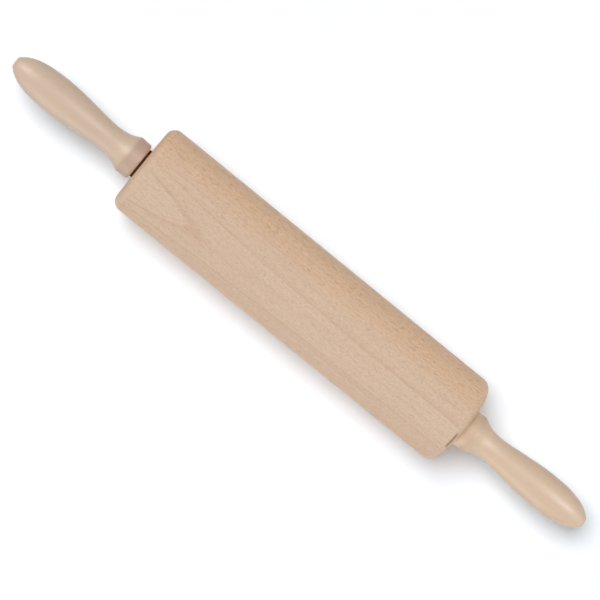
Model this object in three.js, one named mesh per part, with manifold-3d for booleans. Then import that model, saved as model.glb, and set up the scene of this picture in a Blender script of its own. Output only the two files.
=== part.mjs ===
// Rolling pin: a turned beech roller that runs on two ball bearings, on a steel axle rod between
// two turned beech handles. Millimetres, +Z up. The pin lies along X on its roller, and the
// origin is on the table, under the middle of the roller.

import * as THREE from "three";
import { mergeVertices } from "three/addons/utils/BufferGeometryUtils.js";
import Module from "manifold-3d";

const wasm = await Module();
wasm.setup();

// Roller
const rollerLength = 250;
const rollerDiameter = 60;
const rollerEdgeRound = 6.5;

// Handle, with places measured from the face of its collar towards the tip
const handleLength = 95.5;
const collarFaceDiameter = 20.6;
const collarFrontDiameter = 24.9;
const collarFrontRound = 2.8;
const collarDiameter = 25.5;
const collarWidth = 8.4;
const collarBackRound = 0.8;
const collarBackDrop = 0.45;
const neckDiameter = 17.3;
const neckPlace = 24;
const bellyDiameter = 23.5;
const bellyPlace = 64;
const tipDiameter = 7.2;
const tipEdgeRound = 0.4;
const tipEdgeDrop = 0.42;

// Shape of the handle's three long curves: how far each control point reaches along its stretch,
// and how far between the radii at its two ends
const coveReach = { start: 0.14, end: 0.6, radius: 0.65 };
const swellReach = { start: 0.19, end: 0.38 };
const noseReach = { start: 0.72, end: 0.12, radius: 0.42 };

// Axle rod, screwed into a brass insert in each handle
const rodDiameter = 8;
const rodChamfer = 0.8;
const insertWall = 1.95;
const insertLength = 13;
const rodPastInsert = 32;
const rodHoleRelief = 1.5;

// Spacer sleeve between the insert and the bearing, and the washer that keeps flour out of the seat
const spacerWall = 1.7;
const washerDiameter = 20;
const washerThickness = 1.7;
const washerInSeat = 0.15;

// Ball bearing, sunk in a seat in each end of the roller
const ballDiameter = 3.97;
const ballCount = 7;
const innerRaceWall = 1.345;
const outerRaceWall = 1.395;
const raceDepth = 0.6;
const cageThickness = 1.2;
const cageWeb = 0.415;
const cageToShield = 0.25;
const shieldThickness = 0.35;
const shieldInset = 0.3;
const shieldLedge = 0.6;
const ringChamfer = 0.35;
const bearingRecess = 0.4;
const innerRingRelief = 1;

// Clearances
const slipFit = 0.05;
const rodHoleClearance = 0.15;
const raceClearance = 0.12;
const pocketClearance = 0.2;
const shieldClearance = 0.25;

// Facets around each round piece, and steps along each of its curves
const rollerFacets = { sides: 64, steps: 2 };
const handleFacets = { sides: 32, steps: 4 };
const fittingFacets = { sides: 32, steps: 2 };
const ballFacets = { sides: 10, rings: 6 };

// Radii and places that follow from the sizes above
const rollerRadius = rollerDiameter / 2;
const axisHeight = rollerRadius * Math.cos(Math.PI / rollerFacets.sides);
const rodRadius = rodDiameter / 2;
const fittingBore = rodRadius + slipFit;
const spacerRadius = fittingBore + spacerWall;
const insertRadius = fittingBore + insertWall;
const rodInHandle = insertLength + rodPastInsert;

const ballRadius = ballDiameter / 2;
const raceRadius = ballRadius + raceClearance;
const pitchRadius = fittingBore + innerRaceWall + raceRadius;
const innerShoulder = fittingBore + innerRaceWall + raceDepth;
const outerShoulder = pitchRadius + raceRadius - raceDepth;
const bearingRadius = pitchRadius + raceRadius + outerRaceWall;
const cageHalfWidth = ballRadius + pocketClearance + cageWeb;
const shieldPlace = cageHalfWidth + cageToShield;
const shieldRecess = outerShoulder + shieldLedge;
const bearingHalfWidth = shieldPlace + shieldThickness + shieldInset;

const seatRadius = bearingRadius + slipFit;
const seatDepth = bearingRecess + 2 * bearingHalfWidth + slipFit;
const rollerBore = innerShoulder + innerRingRelief;

// Place of the collar's face, measured out from the end of the roller
const collarFace = washerThickness - washerInSeat + slipFit;

// Colour and finish of each material
const rollerBeech = { color: 0xd6b99f, roughness: 0.6, metalness: 0 };
const handleBeech = { color: 0xdac0a6, roughness: 0.5, metalness: 0 };
const rodSteel = { color: 0xb4b7ba, roughness: 0.35, metalness: 1 };
const bearingSteel = { color: 0xc6c9cc, roughness: 0.22, metalness: 1 };
const shieldSteel = { color: 0xaeb1b3, roughness: 0.4, metalness: 1 };
const brass = { color: 0xc9a45a, roughness: 0.4, metalness: 1 };
const darkFibre = { color: 0x2c1809, roughness: 0.85, metalness: 0 };

function piece(name, geometry, finish) {
  const mesh = new THREE.Mesh(geometry, new THREE.MeshStandardMaterial(finish));
  mesh.name = name;
  return mesh;
}

// A solid of revolution about X, from a path of (radius, place along X).
// A flat facet, not an edge, faces straight down.
function turned(path, { sides, steps }) {
  const geometry = new THREE.LatheGeometry(path.getPoints(steps), sides, Math.PI / sides);
  return geometry.rotateZ(-Math.PI / 2);
}

// A plain sleeve or disc with a hole.
function sleeve(bore, rim, start, end) {
  const path = new THREE.Path();
  path.moveTo(bore, start);
  path.lineTo(rim, start);
  path.lineTo(rim, end);
  path.lineTo(bore, end);
  path.closePath();
  return turned(path, fittingFacets);
}

// A closed geometry as a solid that can be cut, and back again.
function solidOf(geometry) {
  const bare = geometry.clone();
  bare.deleteAttribute("normal");
  bare.deleteAttribute("uv");
  const merged = mergeVertices(bare);
  const vertProperties = merged.getAttribute("position").array;
  const triVerts = new Uint32Array(merged.index.array);
  return new wasm.Manifold(new wasm.Mesh({ numProp: 3, vertProperties, triVerts }));
}

function geometryOf(solid) {
  const { vertProperties, triVerts } = solid.getMesh();
  const geometry = new THREE.BufferGeometry();
  geometry.setAttribute("position", new THREE.BufferAttribute(vertProperties, 3));
  geometry.setIndex(new THREE.BufferAttribute(triVerts, 1));
  geometry.computeVertexNormals();
  return geometry;
}

// Roller: a bored cylinder with rounded rims and a bearing seat sunk in each end.
function rollerGeometry() {
  const end = rollerLength / 2;
  const seat = end - seatDepth;
  const face = rollerRadius - rollerEdgeRound;
  const side = end - rollerEdgeRound;

  const path = new THREE.Path();
  path.moveTo(rollerBore, -seat);
  path.lineTo(seatRadius, -seat);
  path.lineTo(seatRadius, -end);
  path.lineTo(face, -end);
  path.absarc(face, -side, rollerEdgeRound, -Math.PI / 2, 0, false);
  path.lineTo(rollerRadius, side);
  path.absarc(face, side, rollerEdgeRound, 0, Math.PI / 2, false);
  path.lineTo(seatRadius, end);
  path.lineTo(seatRadius, seat);
  path.lineTo(rollerBore, seat);
  path.closePath();
  return turned(path, rollerFacets);
}

// Axle rod: one straight bar with chamfered ends, which reaches into both handles.
function rodGeometry() {
  const end = rollerLength / 2 + collarFace + rodInHandle;
  const tip = rodRadius - rodChamfer;

  const path = new THREE.Path();
  path.moveTo(0, -end);
  path.lineTo(tip, -end);
  path.lineTo(rodRadius, -end + rodChamfer);
  path.lineTo(rodRadius, end - rodChamfer);
  path.lineTo(tip, end);
  path.lineTo(0, end);
  return turned(path, fittingFacets);
}

// Handle: a blind hole for the rod and a seat for the insert, then the outline from the collar's
// slightly tapered band over the neck and the belly to the flat tip with its softened edge.
function handleGeometry() {
  const hole = rodRadius + rodHoleClearance;
  const holeEnd = rodInHandle + rodHoleRelief;
  const seat = insertRadius + slipFit;
  const seatEnd = insertLength + slipFit;
  const face = collarFaceDiameter / 2;
  const front = collarFrontDiameter / 2;
  const collar = collarDiameter / 2;
  const collarBack = collar - collarBackDrop;
  const coveStart = collarWidth + collarBackRound;
  const neck = neckDiameter / 2;
  const belly = bellyDiameter / 2;
  const tip = tipDiameter / 2;
  const tipEdge = handleLength - tipEdgeRound;
  const cove = neckPlace - coveStart;
  const swell = bellyPlace - neckPlace;
  const nose = tipEdge - bellyPlace;

  const path = new THREE.Path();
  path.moveTo(0, holeEnd);
  path.lineTo(hole, holeEnd);
  path.lineTo(hole, seatEnd);
  path.lineTo(seat, seatEnd);
  path.lineTo(seat, 0);
  path.lineTo(face, 0);
  path.quadraticCurveTo(front, 0, front, collarFrontRound);
  path.lineTo(collar, collarWidth - collarBackRound);
  path.quadraticCurveTo(collar, collarWidth, collarBack, coveStart);
  path.bezierCurveTo(
    neck + (collarBack - neck) * coveReach.radius, coveStart + cove * coveReach.start,
    neck, neckPlace - cove * coveReach.end,
    neck, neckPlace,
  );
  path.bezierCurveTo(
    neck, neckPlace + swell * swellReach.start,
    belly, bellyPlace - swell * swellReach.end,
    belly, bellyPlace,
  );
  path.bezierCurveTo(
    belly, bellyPlace + nose * noseReach.start,
    tip + (belly - tip) * noseReach.radius, tipEdge - nose * noseReach.end,
    tip, tipEdge,
  );
  path.quadraticCurveTo(tip - tipEdgeDrop, handleLength, tip - tipEdgeDrop - tipEdgeRound, handleLength);
  path.lineTo(0, handleLength);
  return turned(path, handleFacets).translate(collarFace, 0, 0);
}

// The race of a bearing ring: an arc round the ball, from one shoulder of the ring to the other.
function addRace(path, shoulder, startSide) {
  const depth = shoulder - pitchRadius;
  const halfWidth = startSide * Math.sqrt(raceRadius ** 2 - depth ** 2);
  path.lineTo(shoulder, halfWidth);
  path.absarc(pitchRadius, 0, raceRadius, Math.atan2(halfWidth, depth), Math.atan2(-halfWidth, depth), true);
}

// Outer ring: the race inside, and a stepped recess for a shield on each side.
function outerRingGeometry() {
  const end = bearingHalfWidth;
  const step = shieldPlace - slipFit;

  const path = new THREE.Path();
  path.moveTo(bearingRadius, -end + ringChamfer);
  path.lineTo(bearingRadius, end - ringChamfer);
  path.lineTo(bearingRadius - ringChamfer, end);
  path.lineTo(shieldRecess, end);
  path.lineTo(shieldRecess, step);
  path.lineTo(outerShoulder, step);
  addRace(path, outerShoulder, 1);
  path.lineTo(outerShoulder, -step);
  path.lineTo(shieldRecess, -step);
  path.lineTo(shieldRecess, -end);
  path.lineTo(bearingRadius - ringChamfer, -end);
  path.closePath();
  return turned(path, fittingFacets);
}

// Inner ring: bored for the rod, with the race outside.
function innerRingGeometry() {
  const end = bearingHalfWidth;

  const path = new THREE.Path();
  path.moveTo(fittingBore, end);
  path.lineTo(fittingBore, -end);
  path.lineTo(innerShoulder, -end);
  addRace(path, innerShoulder, -1);
  path.lineTo(innerShoulder, end);
  path.closePath();
  return turned(path, fittingFacets);
}

// Shield: a thin disc held in the outer ring's recess and clear of the inner ring.
function shieldGeometry() {
  const bore = innerShoulder + shieldClearance;
  const rim = shieldRecess - slipFit;
  return sleeve(bore, rim, -shieldThickness / 2, shieldThickness / 2);
}

function ballGeometry(radius) {
  return new THREE.SphereGeometry(radius, ballFacets.sides, ballFacets.rings);
}

// Centre of each ball, evenly spaced round the pitch circle.
function ballCentres() {
  return Array.from({ length: ballCount }, (_, index) => {
    const angle = (2 * Math.PI * index) / ballCount;
    return new THREE.Vector3(0, pitchRadius * Math.cos(angle), pitchRadius * Math.sin(angle));
  });
}

// Cage: a ring on the pitch circle with a round pocket for each ball.
function cageGeometry() {
  const inner = pitchRadius - cageThickness / 2;
  const outer = pitchRadius + cageThickness / 2;
  let cage = solidOf(sleeve(inner, outer, -cageHalfWidth, cageHalfWidth));
  for (const { x, y, z } of ballCentres()) {
    const pocket = ballGeometry(ballRadius + pocketClearance).translate(x, y, z);
    cage = cage.subtract(solidOf(pocket));
  }
  return geometryOf(cage);
}

// One bearing, centred on its own group.
function bearing(side) {
  const shieldMiddle = shieldPlace + shieldThickness / 2;
  const outboardShield = piece(`bearing_shield_outboard_${side}`, shieldGeometry(), shieldSteel);
  outboardShield.position.x = shieldMiddle;
  const inboardShield = piece(`bearing_shield_inboard_${side}`, shieldGeometry(), shieldSteel);
  inboardShield.position.x = -shieldMiddle;

  const group = new THREE.Group();
  group.add(
    piece(`bearing_outer_ring_${side}`, outerRingGeometry(), bearingSteel),
    piece(`bearing_inner_ring_${side}`, innerRingGeometry(), bearingSteel),
    piece(`bearing_cage_${side}`, cageGeometry(), brass),
    outboardShield,
    inboardShield,
  );
  ballCentres().forEach((centre, index) => {
    const ball = piece(`bearing_ball_${side}_${index + 1}`, ballGeometry(ballRadius), bearingSteel);
    ball.position.copy(centre);
    group.add(ball);
  });
  return group;
}

// Everything at one end of the pin. +X points from the end of the roller out to the tip.
function pinEnd(side) {
  const ringFace = -bearingRecess;
  const spacer = sleeve(fittingBore, spacerRadius, ringFace + slipFit, collarFace - slipFit);
  const washerBore = spacerRadius + slipFit;
  const washer = sleeve(washerBore, washerDiameter / 2, -washerInSeat, collarFace - slipFit);
  const insert = sleeve(fittingBore, insertRadius, collarFace, collarFace + insertLength);

  const endBearing = bearing(side);
  endBearing.position.x = ringFace - bearingHalfWidth;

  const group = new THREE.Group();
  group.add(
    endBearing,
    piece(`spacer_sleeve_${side}`, spacer, rodSteel),
    piece(`dust_washer_${side}`, washer, darkFibre),
    piece(`thread_insert_${side}`, insert, brass),
    piece(`handle_${side}`, handleGeometry(), handleBeech),
  );
  return group;
}

const rightEnd = pinEnd("right");
rightEnd.position.x = rollerLength / 2;

const leftEnd = pinEnd("left");
leftEnd.position.x = -rollerLength / 2;
leftEnd.rotation.z = Math.PI;

const rollingPin = new THREE.Group();
rollingPin.position.z = axisHeight;
rollingPin.add(
  piece("roller", rollerGeometry(), rollerBeech),
  piece("axle_rod", rodGeometry(), rodSteel),
  leftEnd,
  rightEnd,
);

const part = new THREE.Group();
part.add(rollingPin);

export default part;
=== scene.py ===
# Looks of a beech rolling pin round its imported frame. Metres, +Z up, the axle along X.

import math

import bmesh
import bpy
from mathutils import Matrix, Vector
from mathutils.geometry import interpolate_bezier


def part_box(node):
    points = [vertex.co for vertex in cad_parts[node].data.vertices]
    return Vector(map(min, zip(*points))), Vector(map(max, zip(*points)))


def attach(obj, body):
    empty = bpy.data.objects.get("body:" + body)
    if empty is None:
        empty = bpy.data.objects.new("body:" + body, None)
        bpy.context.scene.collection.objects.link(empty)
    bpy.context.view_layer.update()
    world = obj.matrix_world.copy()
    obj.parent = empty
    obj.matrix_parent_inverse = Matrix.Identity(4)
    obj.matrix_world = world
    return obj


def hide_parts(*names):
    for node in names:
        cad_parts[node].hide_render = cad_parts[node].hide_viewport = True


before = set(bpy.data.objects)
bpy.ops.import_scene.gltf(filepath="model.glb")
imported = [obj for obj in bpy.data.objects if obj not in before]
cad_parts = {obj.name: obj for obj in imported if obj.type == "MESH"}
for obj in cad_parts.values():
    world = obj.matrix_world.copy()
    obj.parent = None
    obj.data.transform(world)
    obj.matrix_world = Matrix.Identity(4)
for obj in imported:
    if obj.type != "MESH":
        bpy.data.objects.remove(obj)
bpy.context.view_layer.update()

MM = 0.001

# Places that the frame gives
roller_low, roller_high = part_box("roller")
ROLLER_END = roller_high.x
AXLE_HEIGHT = (roller_low.z + roller_high.z) / 2
collar_corner, tip_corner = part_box("handle_right")
COLLAR_FACE = collar_corner.x
HANDLE_LENGTH = tip_corner.x - collar_corner.x

# Roller
ROLLER_RADIUS = 30 * MM
ROLLER_EDGE_ROUND = 6.5 * MM
ROLLER_BORE = 7 * MM
SEAT_RADIUS = 11.05 * MM
SEAT_DEPTH = 7.45 * MM

# Handle, with places measured from the face of its collar towards the tip
FACE_RADIUS = 10.3 * MM
COLLAR_FRONT_RADIUS = 12.45 * MM
COLLAR_FRONT_ROUND = 2.8 * MM
COLLAR_RADIUS = 12.75 * MM
COLLAR_WIDTH = 8.4 * MM
COLLAR_BACK_ROUND = 0.8 * MM
COLLAR_BACK_DROP = 0.45 * MM
NECK_RADIUS = 8.65 * MM
NECK_PLACE = 24 * MM
BELLY_RADIUS = 11.75 * MM
BELLY_PLACE = 64 * MM
TIP_RADIUS = 3.6 * MM
TIP_EDGE_ROUND = 0.4 * MM
TIP_EDGE_DROP = 0.42 * MM
ROD_HOLE_RADIUS = 4.15 * MM
ROD_HOLE_DEPTH = 46.5 * MM
INSERT_SEAT_RADIUS = 6.05 * MM
INSERT_SEAT_DEPTH = 13.05 * MM

# Shape of the handle's three long curves, as shares of each stretch and of its change of radius
COVE_START, COVE_END, COVE_FALL = 0.14, 0.6, 0.65
SWELL_START, SWELL_END = 0.19, 0.38
NOSE_START, NOSE_END, NOSE_FALL = 0.72, 0.12, 0.42

# Fineness of the turned pieces
CURVE_STEPS = 24
LARGE_SIDES = 256
SMALL_SIDES = 128
CREASE_ANGLE = math.radians(28)
GUIDE_RADIUS = 0.1
MERGE_DISTANCE = 0.001 * MM

# Camera: almost straight above the roller's left end, turned so that the pin lies aslant
PICTURE_WIDTH = 600
PIXELS_PER_METRE = 1652
CAMERA_HEIGHT = 1.6
CAMERA_FOOT = Vector((-139 * MM, 0.0))
CAMERA_AIM = Vector((0.7 * MM, -3.3 * MM))
PIN_SLANT = math.radians(39.12)
SENSOR_WIDTH = 36.0


class Wire:
    """An output socket that takes part in Python expressions: each operator adds a Math node."""

    def __init__(self, tree, socket=None):
        self.tree = tree
        self.socket = socket

    def node(self, kind, settings=None, inputs=None, output=0):
        """Adds one node, its settings first, then the values or links of its sockets."""
        made = self.tree.nodes.new(kind)
        for setting, value in (settings or {}).items():
            setattr(made, setting, value)
        for place, value in (inputs or {}).items():
            if isinstance(value, Wire):
                self.tree.links.new(value.socket, made.inputs[place])
            else:
                made.inputs[place].default_value = value
        return Wire(self.tree, made.outputs[output] if made.outputs else None)

    def sibling(self, output):
        """Another output of the same node."""
        return Wire(self.tree, self.socket.node.outputs[output])

    def math(self, operation, *values):
        """A Math node on this value and others."""
        return self.node("ShaderNodeMath", {"operation": operation}, dict(enumerate((self, *values))))

    def ramp(self, low, high):
        """A smooth step from 0 at low to 1 at high."""
        settings = {"interpolation_type": "SMOOTHSTEP"}
        return self.node("ShaderNodeMapRange", settings, {"Value": self, "From Min": low, "From Max": high})

    def __add__(self, other):
        return self.math("ADD", other)

    __radd__ = __add__

    def __sub__(self, other):
        return self.math("SUBTRACT", other)

    def __rsub__(self, other):
        return self.node("ShaderNodeMath", {"operation": "SUBTRACT"}, {0: other, 1: self})

    def __mul__(self, other):
        return self.math("MULTIPLY", other)

    def __truediv__(self, other):
        return self.math("DIVIDE", other)


def srgb(red, green, blue):
    """A colour in the usual 0 to 255 steps, as linear light."""

    def linear(level):
        share = level / 255
        return share / 12.92 if share <= 0.04045 else ((share + 0.055) / 1.055) ** 2.4

    return (linear(red), linear(green), linear(blue), 1.0)


def new_material(name):
    """An empty node material and a wire to start its formulas from."""
    material = bpy.data.materials.new(name)
    material.use_nodes = True
    material.node_tree.nodes.clear()
    return material, Wire(material.node_tree)


def mixed(factor, first, second):
    """Two colours mixed by a factor."""
    return factor.node("ShaderNodeMix", {"data_type": "RGBA"}, {0: factor, 6: first, 7: second}, output=2)


def noise(x, y, z, detail=1.0):
    """Noise on a point whose coordinates are already in steps of the noise."""
    point = x.node("ShaderNodeCombineXYZ", {}, {0: x, 1: y, 2: z})
    return x.node("ShaderNodeTexNoise", {}, {"Vector": point, "Scale": 1.0, "Detail": detail})


def object_point(bench):
    """The three Object coordinates, with the height measured from the axle."""
    point = bench.node("ShaderNodeTexCoord", output="Object")
    along = point.node("ShaderNodeSeparateXYZ", {}, {0: point})
    return along, along.sibling(1), along.sibling(2) - AXLE_HEIGHT


def bumped(height, strength, depth):
    """The surface's normal, raised and sunk by a height."""
    return height.node("ShaderNodeBump", {}, {"Strength": strength, "Distance": depth, "Height": height})


def finish_surface(bench, **inputs):
    """A Principled shader with these inputs, as the material's surface."""
    named = {name.replace("_", " "): value for name, value in inputs.items()}
    shader = bench.node("ShaderNodeBsdfPrincipled", {}, named)
    bench.node("ShaderNodeOutputMaterial", {}, {"Surface": shader})


# Beech: growth rings round a far pith, ray flecks and pores, in three dimensions

PITH_DISTANCE = 100 * MM
HEART_EDGE = (112 * MM, 133 * MM)
RAY_LENGTH = 3.0 * MM
RAY_WIDTH = 0.4 * MM
RAY_DEPTH = 4 * MM
PORE_LENGTH = 1.3 * MM
PORE_WIDTH = 0.16 * MM
STREAK_WIDTH = 1.6 * MM
RELIEF_DEPTH = 0.05 * MM

# Waves to the metre, along and across the grain
SWAY_WAVES = (9.0, 26.0)
LEAN_WAVES = (7.0, 20.0)
LEAN_SHIFT = 5.0
CLOUD_WAVES = (22.0, 60.0)
STREAK_WAVES = 14.0
RING_WAVES = 3.0

# How strongly each mark shows
CLOUDING = 0.4
STREAKING = 0.4
PORES = 0.8
END_GRAIN = 0.45
COLLAR_DARKENING = 0.9
DARK_LINE = 0.75
SHEEN_ROUGHNESS = 0.45
RELIEF = 0.25

# Darker tone of the collars, from their faces, with painted light near the right collar's face, and a short
# dark line across the roller's right rim
COLLAR_TONE_END = COLLAR_WIDTH - 1 * MM
FRONT_EDGE = (1.6 * MM, 8.0 * MM)
DARK_LINE_MIDDLE = Vector((ROLLER_END - 2.5 * MM, -11.2 * MM))
DARK_LINE_WIDTH = 1.2 * MM
DARK_LINE_LENGTH = 12 * MM
DARK_LINE_FADE = 5 * MM


def grain_noise(point, waves, shift=0.0):
    """Noise that is drawn out along the grain."""
    along, side, height = point
    lengthwise, crosswise = waves
    return noise(along * lengthwise + shift, side * crosswise, height * crosswise, 2.0)


def round_the_pith(point, crown, wander_size):
    """The distance from the pith, and the way round it, which both wander a little."""
    _, side, height = point
    sway = grain_noise(point, SWAY_WAVES)
    lean = grain_noise(point, LEAN_WAVES, LEAN_SHIFT)
    across = side - PITH_DISTANCE * math.sin(crown) + (sway - 0.5) * wander_size
    above = height + PITH_DISTANCE * math.cos(crown) + (lean - 0.5) * wander_size
    distance = (across * across + above * above).math("SQRT")
    return distance, across.math("ARCTAN2", above) * PITH_DISTANCE


def late_wood(along, distance, end, ring_width, ring_start, ring_lot, taper):
    """The dark line of each ring, stronger in some rings than in others, and faded on rounded ends.

    ring_lot picks the strong rings. The trunk's taper draws the rings into an arch near one end.
    """
    rise, start, reach = taper
    grown = distance + ((along - start) * (-1 / reach)).math("EXPONENT") * rise
    count = (grown - ring_start) / ring_width
    uneven = noise(grown / (2.4 * ring_width), along * RING_WAVES, 0.0)
    count = count + (uneven - 0.5) * 0.5
    phase = count.math("FRACT")
    lot = count.math("FLOOR") + ring_lot
    lot = count.node("ShaderNodeTexWhiteNoise", {"noise_dimensions": "1D"}, {"W": lot})
    late = phase.ramp(0.3, 0.9) * 0.3 + phase.ramp(0.76, 0.92) * 0.7
    late = late * (1 - phase.ramp(0.93, 1.0)) * (0.12 + lot * lot * 0.88)
    return late * (1 - end.ramp(0.05, 0.25) * (1 - end.ramp(0.8, 0.97)))


def collar_tone_and_painted_light(along, base, tones, fade):
    """A handle's collar in a darker tone of its own, with the edge tone near its face, which on the right
    handle is painted light lifting the roller's shade there.
    """
    from_face = along.math("ABSOLUTE") - COLLAR_FACE
    collar = 1 - from_face.ramp(COLLAR_TONE_END, COLLAR_TONE_END + fade)
    # Painted light: near the collar's face the edge tone stands in for light where the roller's end shades
    # the right collar.
    painted_light = 1 - from_face.ramp(*FRONT_EDGE)
    return mixed(collar * COLLAR_DARKENING, base, mixed(painted_light, tones["dark_collar"], tones["edge"]))


def dark_rim_line(point, cloud, base, tone):
    """A short dark line across the grain."""
    along, side, height = point
    off = (along - DARK_LINE_MIDDLE.x + (cloud - 0.5) * DARK_LINE_WIDTH).math("ABSOLUTE")
    aside = (side - DARK_LINE_MIDDLE.y).math("ABSOLUTE")
    thick = 1 - off.ramp(DARK_LINE_WIDTH * 0.2, DARK_LINE_WIDTH)
    long = 1 - aside.ramp(DARK_LINE_LENGTH * 0.3, DARK_LINE_LENGTH * 0.55)
    return mixed(thick * long * height.ramp(0.0, DARK_LINE_FADE) * DARK_LINE, base, tone)


def beech(
    name, tones, crown, wander_size, growth, roughness, sheen, rings, flecks, collar_tone_fade=None, with_dark_line=False
):
    """Beech with its grain along X. crown is the direction round the axle that faces the bark.

    rings and flecks are how much they show. The fade argument is how far a handle's darker collar tone runs
    out into its cove.
    """
    material, bench = new_material(name)
    point = object_point(bench)
    along = point[0]
    end = bench.node("ShaderNodeAttribute", {"attribute_name": "end_grain"}, output="Fac")
    distance, sweep = round_the_pith(point, crown, wander_size)
    late = late_wood(along, distance, end, **growth)
    ray = noise(along / RAY_LENGTH, sweep / RAY_WIDTH, distance / RAY_DEPTH, 1.0).ramp(0.46, 0.8)
    pore = noise(along / PORE_LENGTH, sweep / PORE_WIDTH, distance / PORE_WIDTH, 0.0).ramp(0.55, 0.8)
    cloud = grain_noise(point, CLOUD_WAVES)
    streak = noise(along * STREAK_WAVES, sweep / STREAK_WIDTH, distance / STREAK_WIDTH, 2.0)
    ripe = distance.ramp(*HEART_EDGE)

    base = mixed(ripe + (cloud - 0.5) * CLOUDING, tones["heart"], tones["sap"])
    base = mixed(streak.ramp(0.35, 0.7) * (rings * STREAKING), base, tones["late"])
    base = mixed(late * rings, base, tones["late"])
    # Collars in a darker tone, with painted light near the right collar's face
    if collar_tone_fade:
        base = collar_tone_and_painted_light(along, base, tones, collar_tone_fade)
    base = mixed(ray * (1 - ripe * 0.5) * flecks, base, tones["ray"])
    base = mixed(pore * (flecks * PORES), base, tones["ray"])
    base = mixed(end.ramp(0.5, 1.0) * END_GRAIN, base, tones["end"])
    if with_dark_line:
        base = dark_rim_line(point, cloud, base, tones["dark_line"])

    relief = (1 - ray) * 0.5 + (1 - pore) * 0.3 + (1 - late) * 0.2
    finish_surface(
        bench,
        Base_Color=base,
        Roughness=roughness + (ray * 0.08 + end * 0.12 + cloud * 0.08 - 0.04),
        Sheen_Weight=sheen,
        Sheen_Roughness=SHEEN_ROUGHNESS,
        Normal=bumped(relief, RELIEF, RELIEF_DEPTH),
    )
    return material


# Metal and fibre, with their marks to the metre

TOOL_LINES = 9000.0
TOOL_LINE_DEPTH = 0.01 * MM
METAL_PATCHES = 160.0
FIBRES_ALONG = 3000.0
FIBRES_ACROSS = 1400.0
FIBRE_DEPTH = 0.05 * MM


def brushed_metal(name, tone, shade, roughness):
    """Turned or drawn metal, with fine lines round the axle."""
    material, bench = new_material(name)
    along, side, height = object_point(bench)
    radius = (side * side + height * height).math("SQRT")
    line = noise(along * TOOL_LINES, radius * TOOL_LINES, 0.0, 3.0)
    patch = noise(along * METAL_PATCHES, side * METAL_PATCHES, height * METAL_PATCHES, 2.0)
    finish_surface(
        bench,
        Base_Color=mixed(patch.ramp(0.35, 0.7), tone, shade),
        Metallic=1.0,
        Roughness=roughness + (line - 0.5) * 0.2 + (patch - 0.5) * 0.1,
        Normal=bumped(line, 0.2, TOOL_LINE_DEPTH),
    )
    return material


def pressed_fibre(name, tone, shade):
    """Dark fibre board with a short felted pattern."""
    material, bench = new_material(name)
    along, side, height = object_point(bench)
    fibre = noise(along * FIBRES_ALONG, side * FIBRES_ACROSS, height * FIBRES_ACROSS, 3.0)
    finish_surface(
        bench,
        Base_Color=mixed(fibre.ramp(0.35, 0.7), tone, shade),
        Roughness=0.75 + fibre * 0.2,
        Specular_IOR_Level=0.1,
        Normal=bumped(fibre, 0.5, FIBRE_DEPTH),
    )
    return material


ROLLER_TONES = {
    "heart": srgb(220, 184, 150),
    "sap": srgb(205, 180, 158),
    "late": srgb(186, 150, 121),
    "ray": srgb(164, 124, 94),
    "end": srgb(178, 140, 110),
    "dark_line": srgb(112, 78, 52),
}
LEFT_TONES = {
    "heart": srgb(200, 177, 155),
    "sap": srgb(198, 175, 154),
    "late": srgb(196, 166, 140),
    "ray": srgb(178, 142, 114),
    "end": srgb(190, 156, 128),
    "dark_collar": srgb(179, 152, 134),
    "edge": srgb(179, 152, 134),
}
RIGHT_TONES = {
    "heart": srgb(206, 181, 156),
    "sap": srgb(204, 179, 155),
    "late": srgb(202, 170, 142),
    "ray": srgb(184, 146, 116),
    "end": srgb(194, 158, 130),
    "dark_collar": srgb(199, 173, 146),
    # Painted light: this edge tone lifts the shade that the roller's end casts on the collar near its face.
    "edge": srgb(240, 212, 182),
}

HANDLE_FINISH = {"wander_size": 2.0 * MM, "roughness": 0.42, "sheen": 0.0, "rings": 0.3, "flecks": 0.12}

roller_beech = beech(
    "roller_beech",
    ROLLER_TONES,
    crown=math.radians(22.6),
    wander_size=1.0 * MM,
    growth={
        "ring_width": 2.7 * MM,
        "ring_start": 128.8 * MM,
        "ring_lot": 1708.0,
        "taper": (3.2 * MM, -ROLLER_END, 50 * MM),
    },
    roughness=0.74,
    sheen=0.15,
    rings=0.5,
    flecks=0.6,
    with_dark_line=True,
)
handle_beech = {
    "left": beech(
        "handle_beech_left",
        LEFT_TONES,
        crown=math.radians(75),
        growth={
            "ring_width": 2.4 * MM,
            "ring_start": 100 * MM,
            "ring_lot": 20.0,
            "taper": (2.0 * MM, -HANDLE_LENGTH - COLLAR_FACE, 60 * MM),
        },
        collar_tone_fade=4 * MM,
        **HANDLE_FINISH,
    ),
    "right": beech(
        "handle_beech_right",
        RIGHT_TONES,
        crown=math.radians(-120),
        growth={
            "ring_width": 2.2 * MM,
            "ring_start": 100.7 * MM,
            "ring_lot": 40.0,
            "taper": (1.5 * MM, COLLAR_FACE, 60 * MM),
        },
        collar_tone_fade=9 * MM,
        **HANDLE_FINISH,
    ),
}
rod_steel = brushed_metal("rod_steel", srgb(180, 183, 186), srgb(166, 169, 173), 0.32)
bearing_steel = brushed_metal("bearing_steel", srgb(205, 208, 211), srgb(190, 193, 197), 0.16)
shield_steel = brushed_metal("shield_steel", srgb(174, 177, 179), srgb(160, 163, 166), 0.36)
brass = brushed_metal("brass", srgb(201, 164, 90), srgb(184, 146, 76), 0.34)
# The washers are dark brown fibre, and their dark tone is also painted shade: it stands for the shade in
# the gap between roller and collar that they fill.
dark_fibre = pressed_fibre("dark_fibre", srgb(62, 32, 13), srgb(82, 47, 24))

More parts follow.
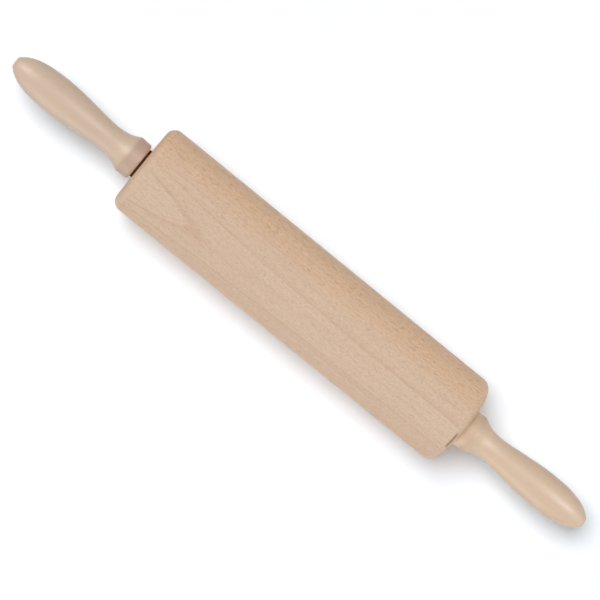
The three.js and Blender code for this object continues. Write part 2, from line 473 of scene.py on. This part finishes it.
node_materials = {
    "axle_rod": rod_steel,
    "spacer_sleeve": rod_steel,
    "thread_insert": brass,
    "dust_washer": dark_fibre,
    "bearing_outer_ring": bearing_steel,
    "bearing_inner_ring": bearing_steel,
    "bearing_ball": bearing_steel,
    "bearing_cage": brass,
    "bearing_shield": shield_steel,
}
for node_name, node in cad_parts.items():
    for start, material in node_materials.items():
        if node_name.startswith(start):
            node.data.materials.clear()
            node.data.materials.append(material)


class Outline:
    """A turned outline: places along the axle against radii."""

    def __init__(self, along, radius, closed=False):
        self.points = [Vector((along, radius, 0))]
        self.closed = closed

    def line(self, along, radius, steps=1):
        """A straight stretch, cut into even steps."""
        first, last = self.points[-1], Vector((along, radius, 0))
        self.points += [first.lerp(last, step / steps) for step in range(1, steps + 1)]
        return self

    def arc(self, along, radius, size, start, end):
        """A round stretch about a centre, between two angles in degrees."""
        for step in range(1, CURVE_STEPS + 1):
            angle = math.radians(start + (end - start) * step / CURVE_STEPS)
            offset = Vector((math.cos(angle), math.sin(angle), 0)) * size
            self.points.append(Vector((along, radius, 0)) + offset)
        return self

    def curve(self, first_pull, second_pull, end):
        """A stretch bent by two control points."""
        pulls = [Vector((*point, 0)) for point in (first_pull, second_pull, end)]
        self.points += interpolate_bezier(self.points[-1], *pulls, CURVE_STEPS + 1)[1:]
        return self

    def corner(self, pull, end):
        """A stretch bent by one control point."""
        first = self.points[-1]
        middle, last = Vector((*pull, 0)), Vector((*end, 0))
        return self.curve(first.lerp(middle, 2 / 3).xy, last.lerp(middle, 2 / 3).xy, end)

    def mirrored(self):
        """The same outline for the other end of the pin."""
        for point in self.points:
            point.x = -point.x
        return self


def lathe_tree():
    """Node tree that turns an outline round the axle, and marks where the end grain shows."""
    tree = bpy.data.node_groups.new("turned_on_a_lathe", "GeometryNodeTree")
    sockets = {}
    for name, kind in (
        ("Outline", "Geometry"),
        ("Sides", "Int"),
        ("Axle Height", "Float"),
        ("Crease Angle", "Float"),
        ("Finish", "Material"),
    ):
        made = tree.interface.new_socket(name, in_out="INPUT", socket_type="NodeSocket" + kind)
        sockets[name] = made.identifier
    tree.interface.new_socket("Turned Piece", in_out="OUTPUT", socket_type="NodeSocketGeometry")

    outline = Wire(tree).node("NodeGroupInput", output="Outline")
    circle = outline.node(
        "GeometryNodeCurvePrimitiveCircle",
        {},
        {"Resolution": outline.sibling("Sides"), "Radius": GUIDE_RADIUS},
    )
    upright = outline.node(
        "GeometryNodeTransform",
        {},
        {"Geometry": outline, "Rotation": (0, 0, -math.pi / 2), "Translation": (-GUIDE_RADIUS, 0, 0)},
    )
    swept = outline.node("GeometryNodeCurveToMesh", {}, {"Curve": circle, "Profile Curve": upright})
    lift = outline.node("ShaderNodeCombineXYZ", {}, {2: outline.sibling("Axle Height")})
    laid = outline.node(
        "GeometryNodeTransform",
        {},
        {"Geometry": swept, "Rotation": (0, math.pi / 2, 0), "Translation": lift},
    )
    closed = outline.node("GeometryNodeMergeByDistance", {}, {"Geometry": laid, "Distance": MERGE_DISTANCE})
    smooth = outline.node(
        "GeometryNodeSetShadeSmooth",
        {"domain": "FACE"},
        {0: closed, "Shade Smooth": True},
    )
    angle = outline.node("GeometryNodeInputMeshEdgeAngle")
    crease = outline.node(
        "FunctionNodeCompare",
        {"operation": "GREATER_THAN"},
        {0: angle, 1: outline.sibling("Crease Angle")},
    )
    creased = outline.node(
        "GeometryNodeSetShadeSmooth",
        {"domain": "EDGE"},
        {0: smooth, "Selection": crease, "Shade Smooth": False},
    )
    normal = outline.node("GeometryNodeInputNormal")
    facing = outline.node(
        "ShaderNodeVectorMath",
        {"operation": "DOT_PRODUCT"},
        {0: normal, 1: (1, 0, 0)},
        "Value",
    )
    marked = outline.node(
        "GeometryNodeStoreNamedAttribute",
        {"data_type": "FLOAT", "domain": "FACE"},
        {"Geometry": creased, "Name": "end_grain", "Value": facing.math("ABSOLUTE")},
    )
    realized = outline.node("GeometryNodeRealizeInstances", {}, {0: marked})
    finished = outline.node(
        "GeometryNodeSetMaterial", {}, {"Geometry": realized, "Material": outline.sibling("Finish")}
    )
    outline.node("NodeGroupOutput", {}, {0: finished})
    return tree, sockets


turning, turning_inputs = lathe_tree()


def turned(name, outline, material, sides, body, slot, *nodes):
    """A turned piece as a plain mesh, which rides on a body and stands for CAD nodes."""
    curve = bpy.data.curves.new(name + "_outline", "CURVE")
    curve.dimensions = "3D"
    spline = curve.splines.new("POLY")
    spline.points.add(len(outline.points) - 1)
    for point, place in zip(spline.points, outline.points):
        point.co = (*place, 1)
    spline.use_cyclic_u = outline.closed
    blank = bpy.data.objects.new(name + "_outline", curve)
    bpy.context.scene.collection.objects.link(blank)

    lathe = blank.modifiers.new("turned_on_a_lathe", "NODES")
    lathe.node_group = turning
    values = {"Sides": sides, "Axle Height": AXLE_HEIGHT, "Crease Angle": CREASE_ANGLE, "Finish": material}
    for socket, value in values.items():
        lathe[turning_inputs[socket]] = value
    graph = bpy.context.evaluated_depsgraph_get()
    mesh = bpy.data.meshes.new_from_object(blank.evaluated_get(graph))
    mesh.name = name
    blank.modifiers.remove(lathe)
    bpy.data.objects.remove(blank)
    bpy.data.curves.remove(curve)

    shell = bmesh.new()
    shell.from_mesh(mesh)
    bmesh.ops.recalc_face_normals(shell, faces=shell.faces)
    shell.to_mesh(mesh)
    shell.free()

    piece = bpy.data.objects.new(name, mesh)
    bpy.context.scene.collection.objects.link(piece)
    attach(piece, body)
    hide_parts(*nodes)


def roller_outline():
    """The bored roller, with rounded rims and a bearing seat in each end."""
    seat = ROLLER_END - SEAT_DEPTH
    rim = ROLLER_RADIUS - ROLLER_EDGE_ROUND
    side = ROLLER_END - ROLLER_EDGE_ROUND
    outline = Outline(-seat, ROLLER_BORE, closed=True)
    outline.line(-seat, SEAT_RADIUS)
    outline.line(-ROLLER_END, SEAT_RADIUS)
    outline.line(-ROLLER_END, rim, steps=8)
    outline.arc(-side, rim, ROLLER_EDGE_ROUND, 180, 90)
    outline.line(side, ROLLER_RADIUS, steps=60)
    outline.arc(side, rim, ROLLER_EDGE_ROUND, 90, 0)
    outline.line(ROLLER_END, SEAT_RADIUS, steps=8)
    outline.line(seat, SEAT_RADIUS)
    return outline.line(seat, ROLLER_BORE)


def handle_outline():
    """The right handle: a blind hole for the rod and the insert, the collar, the neck and the belly."""
    back = COLLAR_RADIUS - COLLAR_BACK_DROP
    cove_start = COLLAR_WIDTH + COLLAR_BACK_ROUND
    cove = NECK_PLACE - cove_start
    swell = BELLY_PLACE - NECK_PLACE
    tip_edge = HANDLE_LENGTH - TIP_EDGE_ROUND
    tip_crest = TIP_RADIUS - TIP_EDGE_DROP
    nose = tip_edge - BELLY_PLACE

    def at(place, radius):
        return COLLAR_FACE + place, radius

    outline = Outline(*at(ROD_HOLE_DEPTH, 0))
    outline.line(*at(ROD_HOLE_DEPTH, ROD_HOLE_RADIUS))
    outline.line(*at(INSERT_SEAT_DEPTH, ROD_HOLE_RADIUS))
    outline.line(*at(INSERT_SEAT_DEPTH, INSERT_SEAT_RADIUS))
    outline.line(*at(0, INSERT_SEAT_RADIUS))
    outline.line(*at(0, FACE_RADIUS), steps=4)
    outline.corner(at(0, COLLAR_FRONT_RADIUS), at(COLLAR_FRONT_ROUND, COLLAR_FRONT_RADIUS))
    outline.line(*at(COLLAR_WIDTH - COLLAR_BACK_ROUND, COLLAR_RADIUS), steps=6)
    outline.corner(at(COLLAR_WIDTH, COLLAR_RADIUS), at(cove_start, back))
    outline.curve(
        at(cove_start + cove * COVE_START, NECK_RADIUS + (back - NECK_RADIUS) * COVE_FALL),
        at(NECK_PLACE - cove * COVE_END, NECK_RADIUS),
        at(NECK_PLACE, NECK_RADIUS),
    )
    outline.curve(
        at(NECK_PLACE + swell * SWELL_START, NECK_RADIUS),
        at(BELLY_PLACE - swell * SWELL_END, BELLY_RADIUS),
        at(BELLY_PLACE, BELLY_RADIUS),
    )
    outline.curve(
        at(BELLY_PLACE + nose * NOSE_START, BELLY_RADIUS),
        at(tip_edge - nose * NOSE_END, TIP_RADIUS + (BELLY_RADIUS - TIP_RADIUS) * NOSE_FALL),
        at(tip_edge, TIP_RADIUS),
    )
    outline.corner(at(HANDLE_LENGTH, tip_crest), at(HANDLE_LENGTH, tip_crest - TIP_EDGE_ROUND))
    return outline.line(*at(HANDLE_LENGTH, 0), steps=3)


turned("turned_roller", roller_outline(), roller_beech, LARGE_SIDES, "roller", "roller_beech", "roller")
for side, outline in (("right", handle_outline()), ("left", handle_outline().mirrored())):
    turned(
        f"turned_handle_{side}",
        outline,
        handle_beech[side],
        SMALL_SIDES,
        "axle_and_handles",
        "handle_beech",
        f"handle_{side}",
    )


# Floor, light and camera

FLOOR_REACH = 4.0
FLOOR_GAP = 0.05 * MM
FLOOR_SEEN = (0.985, 1.025, 1.07, 1.0)
FLOOR_TONE = (0.6, 0.6, 0.6, 1.0)
ROOM_LEVEL = 0.13


def seen_rays(bench):
    """1 for rays from the camera and for mirrored and passed ones, 0 for the light between surfaces."""
    path = bench.node("ShaderNodeLightPath", output="Is Camera Ray")
    seen = path.math("MAXIMUM", path.sibling("Is Glossy Ray"))
    return seen.math("MAXIMUM", path.sibling("Is Transmission Ray"))


def white_floor():
    """A white floor, a little brighter to the camera than to the object, which keeps the shadow."""
    material, bench = new_material("white_floor")
    seen = seen_rays(bench)
    plain = bench.node("ShaderNodeBsdfDiffuse", {}, {"Color": FLOOR_TONE})
    bright = bench.node("ShaderNodeBsdfDiffuse", {}, {"Color": FLOOR_SEEN})
    shader = bench.node("ShaderNodeMixShader", {}, {0: seen, 1: plain, 2: bright})
    bench.node("ShaderNodeOutputMaterial", {}, {"Surface": shader})

    quarters = ((-1, -1), (1, -1), (1, 1), (-1, 1))
    corners = [(x * FLOOR_REACH, y * FLOOR_REACH, -FLOOR_GAP) for x, y in quarters]
    mesh = bpy.data.meshes.new("white_floor")
    mesh.from_pydata(corners, [], [(0, 1, 2, 3)])
    mesh.materials.append(material)
    floor = bpy.data.objects.new("white_floor", mesh)
    bpy.context.scene.collection.objects.link(floor)


def soft_light(name, level, tilt, turn, spread, shadow=True, gives="both"):
    """A soft lamp at a great distance, tilted from the vertical and turned from +X, in degrees.

    level is what it adds to a white surface that faces it. It gives matt light, gloss or both.
    """
    tilt, turn = math.radians(tilt), math.radians(turn)
    direction = Vector((math.sin(tilt) * math.cos(turn), math.sin(tilt) * math.sin(turn), math.cos(tilt)))
    lamp = bpy.data.lights.new(name, "SUN")
    lamp.energy = level * math.pi
    lamp.angle = math.radians(spread)
    lamp.use_shadow = shadow
    light = bpy.data.objects.new(name, lamp)
    light.rotation_mode = "QUATERNION"
    light.rotation_quaternion = direction.to_track_quat("Z", "Y")
    light.visible_diffuse = gives != "gloss"
    light.visible_glossy = gives != "matt"
    bpy.context.scene.collection.objects.link(light)


def white_world(level):
    """An even white room, seen and mirrored as plain white, which lights the rest by its level."""
    world = bpy.data.worlds.new("white_room")
    world.use_nodes = True
    world.node_tree.nodes.clear()
    bench = Wire(world.node_tree)
    strength = level + seen_rays(bench) * (1 - level)
    room = bench.node("ShaderNodeBackground", {}, {"Color": (1, 1, 1, 1), "Strength": strength})
    bench.node("ShaderNodeOutputWorld", {}, {"Surface": room})
    bpy.context.scene.world = world


def aim_camera():
    """A long lens almost straight above, rolled so that the pin runs down to the right."""
    eye = Vector((*CAMERA_FOOT, AXLE_HEIGHT + CAMERA_HEIGHT))
    aim = Vector((*CAMERA_AIM, AXLE_HEIGHT))
    back = (eye - aim).normalized()
    along = Vector((1, 0, 0))
    along = (along - back * along.dot(back)).normalized()
    right = along * math.cos(PIN_SLANT) + back.cross(along) * math.sin(PIN_SLANT)
    up = back.cross(right)

    lens = bpy.data.cameras.new("camera")
    lens.sensor_width = SENSOR_WIDTH
    lens.lens = SENSOR_WIDTH * PIXELS_PER_METRE * (eye - aim).length / PICTURE_WIDTH
    camera = bpy.data.objects.new("camera", lens)
    camera.location = eye
    camera.rotation_mode = "QUATERNION"
    camera.rotation_quaternion = Matrix((right, up, back)).transposed().to_quaternion()
    bpy.context.scene.collection.objects.link(camera)
    bpy.context.scene.camera = camera


white_floor()
white_world(ROOM_LEVEL)
soft_light("key_light", 0.865, tilt=23, turn=163, spread=38, gives="matt")
soft_light("near_side_light", 0.37, tilt=85, turn=270, spread=40, shadow=False)
soft_light("right_end_light", 0.48, tilt=86, turn=0, spread=40, shadow=False)
soft_light("left_gloss_light", 0.95, tilt=49, turn=170, spread=26, shadow=False, gives="gloss")
soft_light("right_gloss_light", 0.9, tilt=32, turn=28, spread=24, shadow=False, gives="gloss")
aim_camera()
bpy.context.scene.view_settings.view_transform = "Standard"
